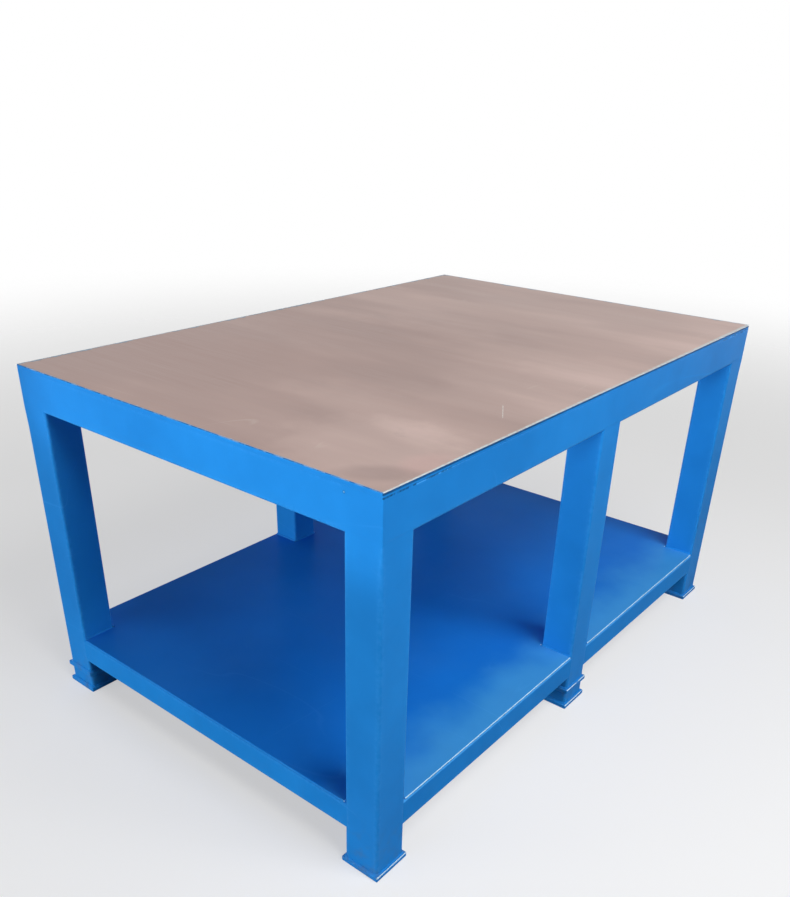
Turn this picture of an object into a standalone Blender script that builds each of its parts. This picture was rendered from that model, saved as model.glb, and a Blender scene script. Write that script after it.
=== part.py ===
"""Steel plate workbench: a welded square tube frame on six legs, a thick steel top plate and a steel shelf.

Metres, +Z up. The origin is on the floor under the middle of the bench. The long side runs along X,
the front is the -Y side, and a piece on the left lies towards -X.
"""

import math
from collections import namedtuple

import bmesh
import bpy

# Frame outline and working height
LENGTH = 1.500
WIDTH = 1.000
HEIGHT = 0.800

# Top plate
TOP_PLATE_THICKNESS = 0.010

# Square tube of the legs, the top frame and the foot packers
FRAME_TUBE = 0.080
FRAME_WALL = 0.004
FRAME_RADIUS = 0.006

# Square tube of the shelf frame and of the bearers between the legs under the top plate
RAIL_TUBE = 0.060
RAIL_WALL = 0.003
RAIL_RADIUS = 0.005

# Square tube of the light bearers under the shelf sheet
SHELF_BEARER_TUBE = 0.040
SHELF_BEARER_WALL = 0.003
SHELF_BEARER_RADIUS = 0.005

# Shelf: floor to the underside of its rails, and its sheet, cut out round the legs
RAIL_UNDERSIDE = 0.085
SHELF_THICKNESS = 0.004
SHELF_CUTOUT_CLEARANCE = 0.002

# Feet: plates that stand a little proud of the leg, and the height where a packed leg ends on its plate
FOOT_PLATE_THICKNESS = 0.010
FOOT_PLATE_OVERHANG = 0.005
PACKED_PLATE_UNDERSIDE = 0.045

# Rounding of sawn and sheared edges, and the space left between neighbours that are welded together
EDGE_ROUNDING = 0.001
EDGE_SEGMENTS = 2
SEAM = 0.0003

# Straight pieces in each quarter turn of a tube's corner
CORNER_STEPS = 4

# Points of a mesh closer than this are one point, and faces that meet at more than this angle stay sharp
MERGE_DISTANCE = 0.00001
SHARP_ANGLE = math.radians(30)

Section = namedtuple("Section", "width wall radius")
FRAME = Section(FRAME_TUBE, FRAME_WALL, FRAME_RADIUS)
RAIL = Section(RAIL_TUBE, RAIL_WALL, RAIL_RADIUS)
SHELF_BEARER = Section(SHELF_BEARER_TUBE, SHELF_BEARER_WALL, SHELF_BEARER_RADIUS)

Finish = namedtuple("Finish", "colour roughness metallic")
BLUE_PAINT = Finish((0.018, 0.200, 0.600, 1.0), 0.35, 0.0)
BARE_STEEL = Finish((0.420, 0.330, 0.290, 1.0), 0.50, 0.8)

# Levels that several pieces share
TOP_FRAME_TOP = HEIGHT - TOP_PLATE_THICKNESS - SEAM
TOP_FRAME_UNDERSIDE = TOP_FRAME_TOP - FRAME_TUBE
SHELF_FRAME_TOP = RAIL_UNDERSIDE + RAIL_TUBE

# Leg centres: both ends and the middle of each long side
LEG_X = {"left": (FRAME_TUBE - LENGTH) / 2, "middle": 0.0, "right": (LENGTH - FRAME_TUBE) / 2}
LEG_Y = {"front": (FRAME_TUBE - WIDTH) / 2, "back": (WIDTH - FRAME_TUBE) / 2}

# Legs that run down to the floor plate in one piece; the others end higher, on a packer
FULL_LEGS = {("front", "left"), ("front", "right")}

# Turn about +Z that brings the front rail, its outer face towards -Y, to each side of the bench
SIDE_TURN = {"front": 0.0, "right": math.pi / 2, "back": math.pi, "left": -math.pi / 2}


def clear_scene():
    for old in list(bpy.data.objects):
        bpy.data.objects.remove(old, do_unlink=True)


def material(name, finish):
    made = bpy.data.materials.new(name)
    made.use_nodes = True
    shader = made.node_tree.nodes["Principled BSDF"]
    shader.inputs["Base Color"].default_value = finish.colour
    shader.inputs["Roughness"].default_value = finish.roughness
    shader.inputs["Metallic"].default_value = finish.metallic
    made.diffuse_color = finish.colour
    return made


def place(name, mesh, finish, location, turn=0.0, lying=False):
    """Add the mesh as a named sub-part; lying lays its local Z along X before the turn about +Z."""
    part = bpy.data.objects.new(name, mesh)
    mesh.materials.clear()
    mesh.materials.append(material(name, finish))
    part.location = location
    part.rotation_euler = (0.0, math.pi / 2 if lying else 0.0, turn)
    part.parent = bench_origin
    bench.objects.link(part)
    return part


def rounded_square(width, radius):
    """Points round a square of the given width whose corners are arcs of the given radius."""
    middle = width / 2 - radius
    points = []
    for corner in range(4):
        for step in range(CORNER_STEPS + 1):
            angle = math.pi / 2 * (corner + step / CORNER_STEPS)
            across = math.copysign(middle, math.cos(math.pi / 2 * (corner + 0.5)))
            up = math.copysign(middle, math.sin(math.pi / 2 * (corner + 0.5)))
            points.append((across + radius * math.cos(angle), up + radius * math.sin(angle)))
    return points


def extruded(name, outlines, depth):
    """Mesh of flat closed outlines, filled between the outer and inner ones, centred along local Z."""
    curve = bpy.data.curves.new(name, "CURVE")
    curve.dimensions = "2D"
    curve.fill_mode = "BOTH"
    curve.extrude = depth / 2
    for outline in outlines:
        spline = curve.splines.new("POLY")
        spline.points.add(len(outline) - 1)
        for point, (x, y) in zip(spline.points, outline):
            point.co = (x, y, 0.0, 1.0)
        spline.use_cyclic_u = True
    drawn = bpy.data.objects.new(name, curve)
    bpy.context.scene.collection.objects.link(drawn)
    evaluated = drawn.evaluated_get(bpy.context.evaluated_depsgraph_get())
    mesh = bpy.data.meshes.new_from_object(evaluated)
    bpy.data.objects.remove(drawn)
    weld_caps(mesh)
    return mesh


def weld_caps(mesh):
    work = bmesh.new()
    work.from_mesh(mesh)
    bmesh.ops.remove_doubles(work, verts=work.verts, dist=MERGE_DISTANCE)
    bmesh.ops.recalc_face_normals(work, faces=work.faces)
    work.to_mesh(mesh)
    work.free()
    mesh.shade_smooth()
    mesh.set_sharp_from_angle(angle=SHARP_ANGLE)


def tube_mesh(name, section, length):
    """Hollow square tube along local Z, centred on its own origin."""
    outer = rounded_square(section.width, section.radius)
    inner = rounded_square(section.width - 2 * section.wall, section.radius - section.wall)
    return extruded(name, [outer, inner], length)


def mitre(mesh, outer_face):
    """Slope both ends at 45 degrees: a point loses the length that it lies inside the outer face at -Y."""
    for vertex in mesh.vertices:
        vertex.co.z -= math.copysign(vertex.co.y - outer_face, vertex.co.z)


def plate(name, size, finish, centre):
    """Flat plate with its edges slightly rounded."""
    bpy.ops.mesh.primitive_cube_add(size=1.0)
    made = bpy.context.object
    made.scale = size
    bpy.ops.object.transform_apply(location=False, rotation=False, scale=True)
    part = place(name, made.data, finish, centre)
    bpy.data.objects.remove(made)
    rounding = part.modifiers.new("edge rounding", "BEVEL")
    rounding.width = EDGE_ROUNDING
    rounding.segments = EDGE_SEGMENTS
    return part


def top_plate():
    size = (LENGTH, WIDTH, TOP_PLATE_THICKNESS)
    plate("top_plate", size, BARE_STEEL, (0.0, 0.0, HEIGHT - TOP_PLATE_THICKNESS / 2))


def top_frame():
    """Four mitred rails flush with the edge of the top plate."""
    reach = {"front": LENGTH, "right": WIDTH, "back": LENGTH, "left": WIDTH}
    for side, turn in SIDE_TURN.items():
        mesh = tube_mesh("top_rail_" + side, FRAME, reach[side] - 2 * SEAM)
        mitre(mesh, -FRAME_TUBE / 2)
        across = reach["right" if side in ("front", "back") else "front"]
        out = (across - FRAME_TUBE) / 2
        location = (out * math.sin(turn), -out * math.cos(turn), TOP_FRAME_TOP - FRAME_TUBE / 2)
        place("top_rail_" + side, mesh, BLUE_PAINT, location, turn, lying=True)


def cross_tubes(name, section, centres, span, level_top):
    """Tubes along Y, their tops at one level and their ends a seam short of the span."""
    for where, x in centres.items():
        mesh = tube_mesh(name, section, span - 2 * SEAM)
        location = (x, 0.0, level_top - section.width / 2)
        place(f"{name}_{where}", mesh, BLUE_PAINT, location, math.pi / 2, lying=True)


def bay_centres():
    """X of the middle of the left and of the right bay, between the legs."""
    return {side: (LEG_X[side] + LEG_X["middle"]) / 2 for side in ("left", "right")}


def top_bearers():
    """Cross tubes that carry the plate between the long rails."""
    centres = {"middle": LEG_X["middle"], **bay_centres()}
    cross_tubes("top_bearer", RAIL, centres, WIDTH - 2 * FRAME_TUBE, TOP_FRAME_TOP)


def foot_plate(name, x, y, underside):
    width = FRAME_TUBE + 2 * FOOT_PLATE_OVERHANG
    centre = (x, y, underside + FOOT_PLATE_THICKNESS / 2)
    plate(name, (width, width, FOOT_PLATE_THICKNESS), BLUE_PAINT, centre)


def upright(name, x, y, bottom, top):
    """Length of frame tube that stands between two levels, a seam short of each."""
    mesh = tube_mesh(name, FRAME, top - bottom - 2 * SEAM)
    place(name, mesh, BLUE_PAINT, (x, y, (bottom + top) / 2))


def legs_and_feet():
    """Six legs; a packed leg ends on its own plate, over a packer of the same tube and a floor plate."""
    for row, y in LEG_Y.items():
        for where, x in LEG_X.items():
            spot = f"{row}_{where}"
            foot_plate("floor_plate_" + spot, x, y, 0.0)
            leg_bottom = FOOT_PLATE_THICKNESS
            if (row, where) not in FULL_LEGS:
                upright("foot_packer_" + spot, x, y, FOOT_PLATE_THICKNESS, PACKED_PLATE_UNDERSIDE)
                foot_plate("leg_plate_" + spot, x, y, PACKED_PLATE_UNDERSIDE)
                leg_bottom = PACKED_PLATE_UNDERSIDE + FOOT_PLATE_THICKNESS
            upright("leg_" + spot, x, y, leg_bottom, TOP_FRAME_UNDERSIDE)


def shelf_frame():
    """Rails between neighbouring legs, flush with their outer faces, and cross tubes between the rails."""
    height = SHELF_FRAME_TOP - RAIL_TUBE / 2
    side_out = (LENGTH - RAIL_TUBE) / 2
    long_out = (WIDTH - RAIL_TUBE) / 2
    for side, sign in (("left", -1), ("right", 1)):
        name = "shelf_rail_" + side
        mesh = tube_mesh(name, RAIL, WIDTH - 2 * FRAME_TUBE - 2 * SEAM)
        place(name, mesh, BLUE_PAINT, (sign * side_out, 0.0, height), math.pi / 2, lying=True)
    bay = LEG_X["right"] - LEG_X["middle"] - FRAME_TUBE
    for row, sign in (("front", -1), ("back", 1)):
        for side, x in bay_centres().items():
            name = f"shelf_rail_{row}_{side}"
            mesh = tube_mesh(name, RAIL, bay - 2 * SEAM)
            place(name, mesh, BLUE_PAINT, (x, sign * long_out, height), lying=True)
    middle = {"middle": LEG_X["middle"]}
    cross_tubes("shelf_rail", RAIL, middle, WIDTH - 2 * FRAME_TUBE, SHELF_FRAME_TOP)
    cross_tubes("shelf_bearer", SHELF_BEARER, bay_centres(), WIDTH - 2 * RAIL_TUBE, SHELF_FRAME_TOP)


def shelf():
    """Sheet flush with the rails' outer faces and cut out round all six legs."""
    edge_x, edge_y = LENGTH / 2, WIDTH / 2
    corner_x = edge_x - FRAME_TUBE - SHELF_CUTOUT_CLEARANCE
    middle_x = FRAME_TUBE / 2 + SHELF_CUTOUT_CLEARANCE
    inner_y = edge_y - FRAME_TUBE - SHELF_CUTOUT_CLEARANCE
    middle_cutout = [(middle_x, -inner_y), (middle_x, -edge_y)]
    corner_cutout = [(corner_x, -edge_y), (corner_x, -inner_y), (edge_x, -inner_y)]
    quarter = middle_cutout + corner_cutout
    right_half = quarter + [(x, -y) for x, y in reversed(quarter)]
    outline = right_half + [(-x, y) for x, y in reversed(right_half)]
    mesh = extruded("shelf_sheet", [outline], SHELF_THICKNESS)
    place("shelf_sheet", mesh, BLUE_PAINT, (0.0, 0.0, SHELF_FRAME_TOP + SEAM + SHELF_THICKNESS / 2))


clear_scene()
bench = bpy.data.collections.new("steel_plate_workbench")
bpy.context.scene.collection.children.link(bench)
bench_origin = bpy.data.objects.new("bench_origin", None)
bench.objects.link(bench_origin)
top_plate()
top_frame()
top_bearers()
legs_and_feet()
shelf_frame()
shelf()
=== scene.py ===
"""Looks of the steel plate workbench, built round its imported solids.

Metres, +Z up, on the solids' own axes: the long side runs along X and the front is the -Y side. Blue enamel
covers the whole bench but the upper face of the top plate, which is bare ground steel.
"""

import math
from itertools import count

import bpy
import numpy as np
from mathutils import Matrix, Vector


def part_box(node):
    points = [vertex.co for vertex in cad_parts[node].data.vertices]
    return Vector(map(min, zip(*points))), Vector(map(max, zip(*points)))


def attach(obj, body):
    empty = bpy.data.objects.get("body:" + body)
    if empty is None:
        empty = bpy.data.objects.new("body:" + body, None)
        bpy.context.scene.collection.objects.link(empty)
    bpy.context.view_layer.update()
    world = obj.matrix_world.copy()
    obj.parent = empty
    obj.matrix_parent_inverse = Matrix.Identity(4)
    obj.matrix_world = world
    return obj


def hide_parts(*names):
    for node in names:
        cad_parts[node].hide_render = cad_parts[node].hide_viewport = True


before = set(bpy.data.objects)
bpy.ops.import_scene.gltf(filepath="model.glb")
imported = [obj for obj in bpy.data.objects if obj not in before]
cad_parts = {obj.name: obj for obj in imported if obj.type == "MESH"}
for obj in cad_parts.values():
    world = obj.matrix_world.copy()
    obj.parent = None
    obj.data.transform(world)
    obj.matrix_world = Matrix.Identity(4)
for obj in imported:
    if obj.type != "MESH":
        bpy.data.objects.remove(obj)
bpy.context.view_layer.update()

X, Y, Z = 0, 1, 2
QUARTER = math.pi / 2

# Rounded corners of the 80 mm tube, and of the 60 mm and 40 mm tube
FRAME_CORNER = 0.006
RAIL_CORNER = 0.005

# The gap that the solids leave at each weld, closed here
SEAM = 0.0003

# Corner of the top frame where two mitred rails meet, ground nearly sharp
MITRE_ROUNDING = 0.002

# The seam under the top plate is filled flush, but for a groove at both ends of the front: it starts at the
# first of these distances from the front's middle and is whole at the second
SEAM_GROOVE = 0.0018
SEAM_FILLED = 0.0002
SEAM_SHOWS = (0.52, 0.64)

# Over this last stretch a leg's outer corner sharpens to meet the top frame's
LEG_CORNER_BLEND = 0.060

# A rolled tube's faces sink a little along their middle and are never quite straight
FACE_HOLLOW = 0.00025
FACE_WAVE = 0.00008
FACE_WAVELENGTHS = (0.31, 0.17, 0.083)

# Rounded edges of the plates
TOP_PLATE_CHAMFER = 0.0012
TOP_PLATE_CORNER = 0.0025
FOOT_PLATE_CHAMFER = 0.0013
FOOT_PLATE_CORNER = 0.0020
SHEET_EDGE = 0.0015

# The shelf sheet: space cut round each leg, and how far it sinks between the tubes under it
SHEET_CLEARANCE = 0.002
SHEET_SAG = 0.0007

# Weld beads: leg length of each kind, then the ripples, the bulge and the root of all of them
BEAD_FRAME = 0.0050
BEAD_RAIL = 0.0040
BEAD_FOOT = 0.0036
BEAD_SHEET = 0.0034
BEAD_UNDER_TOP = 0.0080
BEAD_BEARER = 0.0064
RIPPLE = 0.0031
RIPPLE_DEPTH = 0.07
RIPPLE_LAG = 0.4
BEAD_SWELL = 0.10
BEAD_BULGE = 1.45
BEAD_ROOT = 0.0010
SHEET_BEAD_INSET = 0.001

# Stitches, and how far from a top rail's end their row starts
STITCH_LENGTH = 0.040
STITCH_SPACING = 0.200
STITCH_MARGIN = 0.100

# Mesh spacing along a tube, along a bead and over the sheet; steps of an arc and of a bead's section
TUBE_STEP = 0.025
BEAD_STEP = 0.0011
SHEET_STEP = 0.022
ARC_STEPS = 6
SECTION_STEPS = 6

# Distances of a tube's first rings from its end
NEAR_END = (0.0, 0.0006, 0.0013, 0.0025, 0.005, 0.010)

# Edges that turn by more than these angles in degrees are drawn sharp, and rounded on the sheet
SHARP_FROM = 38
ROUNDED_FROM = 40

# An edge's wear reaches this far over a face, and fades over this length to each side of a joint's end
EDGE_FADE = 0.006
WEAR_RETURN = 0.002

# Shares of a flat face's width where its outline has points, close to the arcs first
TUBE_FLATS = (0.02, 0.08, 0.2, 0.35, 0.5, 0.65, 0.8, 0.92, 0.98)
PLATE_FLATS = tuple(np.linspace(0.0, 1.0, 42)[1:-1])
BEAD_FLATS = tuple(np.linspace(0.0, 1.0, 62)[1:-1])

# Size of the picture in pixels, and the camera that stands where the photograph was taken
PICTURE = (790, 897)
CAMERA_PLACE = (-1.6581, -1.2524, 1.3107)
CAMERA_YAW = 0.6729
CAMERA_PITCH = -0.5053
CAMERA_ROLL = 0.0266
FOCAL_PIXELS = 874.79
OPTICAL_CENTRE = (396.29, 578.10)
SENSOR_WIDTH = 36.0


class Wire:
    """A value that leaves a node. Sums, products and powers of wires add Math nodes to their tree."""

    def __init__(self, nodes, socket):
        self.nodes, self.socket = nodes, socket

    def maths(self, operation, *terms):
        return self.nodes.add("ShaderNodeMath", {"operation": operation}, enumerate(terms))

    def __add__(self, other):
        return self.maths("ADD", self, other)

    def __sub__(self, other):
        return self.maths("SUBTRACT", self, other)

    def __rsub__(self, other):
        return self.maths("SUBTRACT", other, self)

    def __mul__(self, other):
        return self.maths("MULTIPLY", self, other)

    def __truediv__(self, other):
        return self.maths("DIVIDE", self, other)

    def __pow__(self, other):
        return self.maths("POWER", self, other)

    __radd__, __rmul__ = __add__, __mul__

    def most(self, other):
        return self.maths("MAXIMUM", self, other)

    def least(self, other):
        return self.maths("MINIMUM", self, other)

    def size(self):
        return self.maths("ABSOLUTE", self)


class Nodes:
    """A node tree, and the patterns that the finishes are made from."""

    def __init__(self, tree):
        self.tree = tree

    def add(self, kind, settings=(), values=(), output=0):
        """One output of a new node; its settings are made first, then its sockets get values or wires."""
        node = self.tree.nodes.new(kind)
        for name, setting in dict(settings).items():
            setattr(node, name, setting)
        for socket, value in dict(values).items():
            self.feed(node.inputs[socket], value)
        return Wire(self, node.outputs[output])

    def feed(self, socket, value):
        if isinstance(value, Wire):
            self.tree.links.new(value.socket, socket)
        else:
            socket.default_value = value

    def place(self):
        return self.add("ShaderNodeTexCoord", output="Object")

    def parts(self, vector):
        split = self.add("ShaderNodeSeparateXYZ", values={0: vector})
        return [Wire(self, output) for output in split.socket.node.outputs]

    def axes(self):
        """The three coordinates of the point, in metres."""
        return self.parts(self.place())

    def normals(self):
        """The three parts of the direction that the surface faces."""
        return self.parts(self.add("ShaderNodeNewGeometry", output="Normal"))

    def noise(self, per_metre, detail=2.0, stretch=(1.0, 1.0, 1.0), shift=0.0, warp=0.0, roughness=0.5):
        """Cloudy noise from 0 to 1 about 0.5; a stretch below 1 draws it out along that axis."""
        scaled = self.add("ShaderNodeVectorMath", {"operation": "MULTIPLY_ADD"},
                          {0: self.place(), 1: stretch, 2: (shift, shift, shift)})
        values = {"Vector": scaled, "Scale": per_metre, "Detail": detail, "Roughness": roughness,
                  "Distortion": warp}
        return self.add("ShaderNodeTexNoise", values=values)

    def step(self, value, low, high):
        """0 below low and 1 above high, with a soft turn between them; low may be the larger."""
        values = {"Value": value, "From Min": low, "From Max": high}
        return self.add("ShaderNodeMapRange", {"interpolation_type": "SMOOTHSTEP"}, values)

    def hairlines(self, per_metre, width, stretch, shift):
        """Thin wandering lines: the contour where a stretched noise passes its middle."""
        return self.step((self.noise(per_metre, 1.0, stretch, shift, 0.4) - 0.5).size(), width, 0.0)

    def on_front(self):
        """1 on the upright front faces of the top and the shelf, 0 behind them."""
        return self.step(self.axes()[Y], FRONT_FACE + 0.002, FRONT_FACE + 0.001)

    def front_seam(self, level, half_height, per_metre):
        """Broken dark line of painted shade in a level seam along the front."""
        at_level = self.step((self.axes()[Z] - level).size(), half_height, half_height * 0.5)
        dashes = self.step(self.noise(per_metre, 3.0, (1.0, 0.1, 0.1), 4.7, roughness=0.6), 0.44, 0.58)
        return at_level * dashes * self.on_front()

    def top_seam(self):
        """Painted shade in the seam under the top plate, which shows at the two ends of the front."""
        return self.front_seam(*TOP_SEAM) * self.step(self.axes()[X].size(), *SEAM_SHOWS)

    def mix(self, share, first, second):
        """The first colour where share is 0, and the second where it is 1."""
        return self.add("ShaderNodeMix", {"data_type": "RGBA"}, {0: share, 6: first, 7: second}, output=2)

    def bump(self, millimetres):
        values = {"Strength": 1.0, "Distance": 0.001, "Height": millimetres}
        return self.add("ShaderNodeBump", values=values)


class Finish(Nodes):
    """A material with one Principled shader; its sheen is the same all over."""

    def __init__(self, name, sheen):
        self.material = bpy.data.materials.new(name)
        self.material.use_nodes = True
        super().__init__(self.material.node_tree)
        self.sockets = self.tree.nodes["Principled BSDF"].inputs
        self.sockets["Specular IOR Level"].default_value = sheen

    def set(self, socket, value):
        self.feed(self.sockets[socket], value)


# Colours as red, green and blue light, 0 to 1
ENAMEL_DEEP = (0.009, 0.185, 0.570, 1.0)
ENAMEL_FRESH = (0.016, 0.265, 0.760, 1.0)
ENAMEL_THIN = (0.060, 0.360, 0.860, 1.0)
# The next two are painted shade on the shelf's coat away from its front, and painted light along its front
PAINTED_SHADE_BLUE = (0.006, 0.150, 0.660, 1.0)
PAINTED_LIGHT_BLUE = (0.100, 0.460, 0.860, 1.0)
ENAMEL_DUST = (0.100, 0.250, 0.480, 1.0)
OVERSPRAY = (0.290, 0.430, 0.560, 1.0)
# Painted highlight colours of the upper front rims; the first is also the pale middle of the nick
HIGHLIGHT_AND_NICK_BLUE = (0.540, 0.820, 1.000, 1.0)
HIGHLIGHT_PALE = (0.640, 0.840, 0.960, 1.0)
DARK_NEAR_FLOOR = (0.110, 0.120, 0.135, 1.0)
BRIGHT_STEEL = (0.620, 0.600, 0.560, 1.0)
RIM_STEEL = (0.500, 0.560, 0.570, 1.0)
PLATE_DARK = (0.345, 0.245, 0.222, 1.0)
PLATE_MID = (0.430, 0.315, 0.285, 1.0)
PLATE_LIGHT = (0.570, 0.430, 0.393, 1.0)
PLATE_SMUDGE = (0.290, 0.225, 0.215, 1.0)
PLATE_PINK = (0.560, 0.370, 0.345, 1.0)
# Dark navy: painted shade in the front seams, and the nick's ring and the plate's dark rim lines
DARK_NAVY_AND_SEAM_SHADE = (0.006, 0.060, 0.180, 1.0)

# Sheen of the coats and of the ground steel; the shelf's coat is duller
SHEEN = 0.05
SHELF_SHEEN = 0.02

# The front face, and the seams that show along it as a line of painted shade: height, half the dark line's
# height, dashes in a metre
FRONT_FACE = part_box("top_plate")[0][Y]
TOP_SEAM = (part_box("top_plate")[0][Z], 0.0022, 70.0)
SHELF_SEAM = (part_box("shelf_sheet")[0][Z], 0.0014, 160.0)
SEAM_COVER = 0.8

# Faces that count as level, by the upward part of their direction: from not at all to wholly
LEVEL = (0.55, 0.90)

# Painted highlight on rims that face up and forwards: from none to most, by the product of those two parts
# of their direction, by Y, and by the noise that breaks the highlight up, which the shelf's rim has less of
RIM_FACING = (0.06, 0.22)
RIM_FRONT = (-0.20, -0.35)
RIM_BROKEN = (0.30, 0.45)
SHELF_RIM_BROKEN = (0.18, 0.33)

# Painted shade deepens the shelf's coat away from its front, and painted light makes it pale along its
# front: from none to most, by Y
SHELF_FRONT = (-0.34, -0.49)
SHELF_FRONT_WANDER = 0.12
PAINTED_SHADE_SHARE = 0.55
PAINTED_LIGHT_SHARE = 0.45

# Darker spots near the floor: from none to most, by height
NEAR_FLOOR_HEIGHTS = (0.16, 0.00)

# A nick in the left top rail, along Y and Z, and where along X that rail's outer face ends
NICK = (-0.422, 0.779)
NICK_RADIUS = 0.0018
NICK_FACE = (-0.70, -0.69)


def enamel_colour(nodes):
    """Sprayed coat: broad soft clouds with smaller mottling between the deep and the fresh blue."""
    clouds = nodes.noise(2.6, 2.0) - 0.5
    mottling = nodes.noise(14.0, 3.0, shift=3.1) - 0.5
    return nodes.mix(nodes.step(0.5 + clouds * 0.9 + mottling * 0.4, 0.0, 1.0), ENAMEL_DEEP, ENAMEL_FRESH)


def enamel_relief(nodes):
    """Orange peel, slow waves and faint sags that hang down the upright faces, in millimetres."""
    peel = nodes.noise(330.0, 2.0) * 0.030
    waves = nodes.noise(45.0, 1.0, shift=1.7) * 0.10
    sags = nodes.step(nodes.noise(34.0, 2.0, (1.0, 1.0, 0.12), 5.3), 0.60, 0.80) * 0.05
    return peel + waves + sags


def blue_enamel(name, dust, edge_wear, darkening_near_floor, highlight_colour, seam=None):
    """Glossy blue enamel: dust on upward faces, edges worn thin and bright, darker spots near the floor.

    highlight_colour is the colour of the painted highlight along the upper rims that face up and forwards,
    and seam is the one that the piece lies at, "top" or "shelf", whose dark line is painted shade.
    """
    on_shelf = seam == "shelf"
    paint = Finish(name, SHELF_SHEEN if on_shelf else SHEEN)
    x, y, z = paint.axes()
    _, away, upward = paint.normals()
    level = paint.step(upward, *LEVEL)
    edge = paint.add("ShaderNodeAttribute", {"attribute_name": "edge"}, output="Fac")
    thin = edge * paint.step(paint.noise(120.0, 3.0, shift=7.9), 0.30, 0.75)
    flakes = paint.noise(60.0, 4.0, shift=2.3, roughness=0.7) + edge_wear
    bare = edge * paint.step(flakes, 0.72, 0.78)
    lying = level * paint.step(paint.noise(5.0, 4.0, shift=9.2), 0.35, 0.75) * dust
    drops = paint.step(paint.noise(40.0, 4.0, shift=4.4), 0.45, 0.75)
    # Darker spots on the coat close to the floor
    darker_near_floor = paint.step(z, *NEAR_FLOOR_HEIGHTS) * drops * darkening_near_floor
    scuffs = paint.hairlines(5.0, 0.0040, (1.0, 0.12, 1.0), 6.1).most(
        paint.hairlines(6.0, 0.0036, (0.12, 1.0, 0.6), 8.8))
    scuffs = scuffs * paint.step(paint.noise(3.0, 2.0, shift=12.5), 0.50, 0.62)
    # Painted highlight along the upper rims that face up and forwards
    rim = paint.step(away * upward * -1.0, *RIM_FACING) * edge * paint.step(y, *RIM_FRONT)
    broken = SHELF_RIM_BROKEN if on_shelf else RIM_BROKEN
    rim_highlight = rim * paint.step(paint.noise(30.0, 3.0, shift=3.3), *broken)

    colour = paint.mix(thin * 0.22, enamel_colour(paint), ENAMEL_THIN)
    colour = paint.mix(scuffs * 0.25, colour, ENAMEL_THIN)
    if on_shelf:
        # Painted shade deepens the shelf's coat away from its front, and painted light makes it paler along
        # it
        wander = (paint.noise(9.0, 3.0, shift=10.4) - 0.5) * SHELF_FRONT_WANDER
        painted_light_front = paint.step(y + wander, *SHELF_FRONT)
        colour = paint.mix((1.0 - painted_light_front) * level * PAINTED_SHADE_SHARE, colour, PAINTED_SHADE_BLUE)
        colour = paint.mix(painted_light_front * level * PAINTED_LIGHT_SHARE, colour, PAINTED_LIGHT_BLUE)
    colour = paint.mix(lying, colour, ENAMEL_DUST)
    colour = paint.mix(darker_near_floor, colour, DARK_NEAR_FLOOR)
    colour = paint.mix(rim_highlight, colour, highlight_colour)
    if seam == "top":
        from_nick = ((y - NICK[0]) ** 2.0 + (z - NICK[1]) ** 2.0) ** 0.5 + paint.step(x, *NICK_FACE)
        colour = paint.mix(paint.step(from_nick, NICK_RADIUS * 2.0, NICK_RADIUS) * 0.5, colour, DARK_NAVY_AND_SEAM_SHADE)
        colour = paint.mix(paint.step(from_nick, NICK_RADIUS, NICK_RADIUS * 0.5) * 0.4, colour, HIGHLIGHT_AND_NICK_BLUE)
    # Painted shade in the seam along the front
    if seam is not None:
        seam_shade = paint.front_seam(*SHELF_SEAM) if on_shelf else paint.top_seam()
        colour = paint.mix(seam_shade * SEAM_COVER, colour, DARK_NAVY_AND_SEAM_SHADE)
    paint.set("Base Color", paint.mix(bare, colour, BRIGHT_STEEL))
    paint.set("Metallic", bare * 0.9)
    rough = 0.30 + paint.noise(8.0, 2.0, shift=1.1) * 0.10
    paint.set("Roughness", (rough + lying * 0.9 + darker_near_floor * 0.35 + scuffs * 0.12).least(0.85))
    paint.set("Normal", paint.bump(enamel_relief(paint) - bare * 0.06 - scuffs * 0.01))
    return paint.material


# Patches on the ground top: centre, half length, half width, and turn from the X axis
SMUDGE = ((-0.697, -0.446), 0.086, 0.044, -0.90)
BLUSH = ((-0.615, -0.475), 0.070, 0.050, 0.0)
LIGHTER_PATCH = ((-0.620, -0.360), 0.200, 0.200, 0.0)
DARKER_PATCH = ((-0.150, 0.050), 0.440, 0.440, 0.0)

# The one deep scratch, and how far it fades in from its ends
SCRATCH_ENDS = ((-0.277, -0.399), (-0.342, -0.441))
SCRATCH_WIDTH = 0.0009
SCRATCH_FADE = 0.004

# Painted light: the ground top lightens towards the front and the right, by this much in a metre of X and
# of Y
PAINTED_LIGHT_SLOPE_X = 0.26
PAINTED_LIGHT_SLOPE_Y = -0.45

# How far the paint laps over the left rim and the far rims: at least, and how much more where it is ragged
NEAR_LAP = 0.0010
NEAR_LAP_RAGGED = 0.0030
FAR_LAP = 0.0030
FAR_LAP_RAGGED = 0.0110
LAP_SOFT = (0.0016, -0.0012)

# By depth below the top: the coat of the plate's edges, and the dark lines below its front and left rims,
# the second also by the distance from the left face
COAT_STARTS = (0.0012, 0.0015)
FRONT_LINE_ENDS = (0.0058, 0.0050)
LEFT_LINE_ENDS = (0.0018, 0.0012)
LEFT_LINE_REACH = (0.0011, 0.0007)

# The bright ground rim along the front: its width, from none to most, and how much wider it gets in a metre
RIM_WIDTH = (0.00312, 0.00192)
RIM_WIDENING = 0.003


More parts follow.
